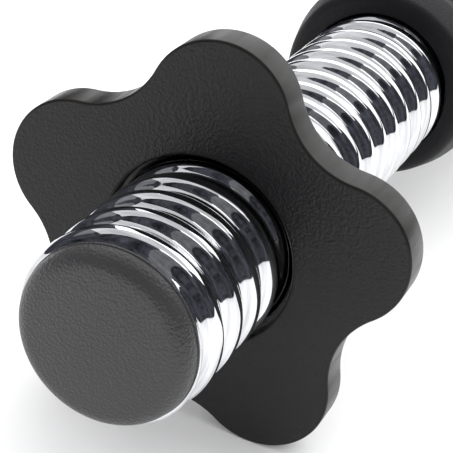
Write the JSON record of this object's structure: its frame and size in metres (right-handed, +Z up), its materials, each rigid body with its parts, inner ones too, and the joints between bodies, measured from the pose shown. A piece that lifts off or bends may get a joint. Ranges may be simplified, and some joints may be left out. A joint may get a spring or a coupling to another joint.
{
  "type": "adjustable dumbbell",
  "caption": "Adjustable dumbbell handle: threaded chrome bar with a grooved grip, fixed inner collars and star nuts that screw along each sleeve to clamp plates.",
  "frame": {"origin": "on the floor, under the middle of the bar, with the handle standing on two lobes of each star nut", "axes": "+X along the bar towards its right end, +Z up, +Y across the bar"},
  "size_m": [0.3676, 0.0632, 0.0612],
  "materials": {
    "chrome_tube": "bright chrome plate",
    "cap_plastic": "fine pebble grain",
    "collar_steel": "turned steel",
    "collar_plastic": "satin moulded",
    "screw_steel": "black oxide",
    "grip_plastic": "plain moulded",
    "grip_rubber": "matt moulded rubber",
    "nut_plastic": "leather grain faces, smooth satin rim",
    "insert_steel": "zinc plate",
    "washer_nylon": "natural nylon",
    "carrier_plastic": "satin moulded",
    "gasket_rubber": "matt rubber"
  },
  "bodies": {
    "handle": {"threaded_bar": "chrome_tube", "left_end_cap": "cap_plastic", "right_end_cap": "cap_plastic", "left_collar_core": "collar_steel", "right_collar_core": "collar_steel", "left_collar_cover": "collar_plastic", "right_collar_cover": "collar_plastic", "left_collar_screw": "screw_steel", "right_collar_screw": "screw_steel", "grip_core": "grip_plastic", "grip_sleeve": "grip_rubber"},
    "left_gasket_ring": {"left_gasket_carrier": "carrier_plastic", "left_gasket": "gasket_rubber"},
    "left_nut": {"left_star_nut": "nut_plastic", "left_thread_insert": "insert_steel", "left_slip_washer": "washer_nylon"},
    "right_gasket_ring": {"right_gasket_carrier": "carrier_plastic", "right_gasket": "gasket_rubber"},
    "right_nut": {"right_star_nut": "nut_plastic", "right_thread_insert": "insert_steel", "right_slip_washer": "washer_nylon"}
  },
  "joints": [
    {"name": "left_nut_travel", "type": "slide", "parent": "handle", "child": "left_gasket_ring", "axis": [1, 0, 0], "range_m": [-0.0391, 0.0657]},
    {"name": "left_nut_turn", "type": "hinge", "parent": "left_gasket_ring", "child": "left_nut", "pos_m": [-0.148, 0, 0.02854], "axis": [1, 0, 0], "range_deg": [-2217, 3725]},
    {"name": "right_nut_travel", "type": "slide", "parent": "handle", "child": "right_gasket_ring", "axis": [1, 0, 0], "range_m": [-0.0657, 0.0391]},
    {"name": "right_nut_turn", "type": "hinge", "parent": "right_gasket_ring", "child": "right_nut", "pos_m": [0.148, 0, 0.02854], "axis": [1, 0, 0], "range_deg": [-3725, 2217]}
  ],
  "couplings": [
    {"joint": "left_nut_turn", "follows": "left_nut_travel", "rad_per_m": 989.48},
    {"joint": "right_nut_turn", "follows": "right_nut_travel", "rad_per_m": 989.48}
  ]
}
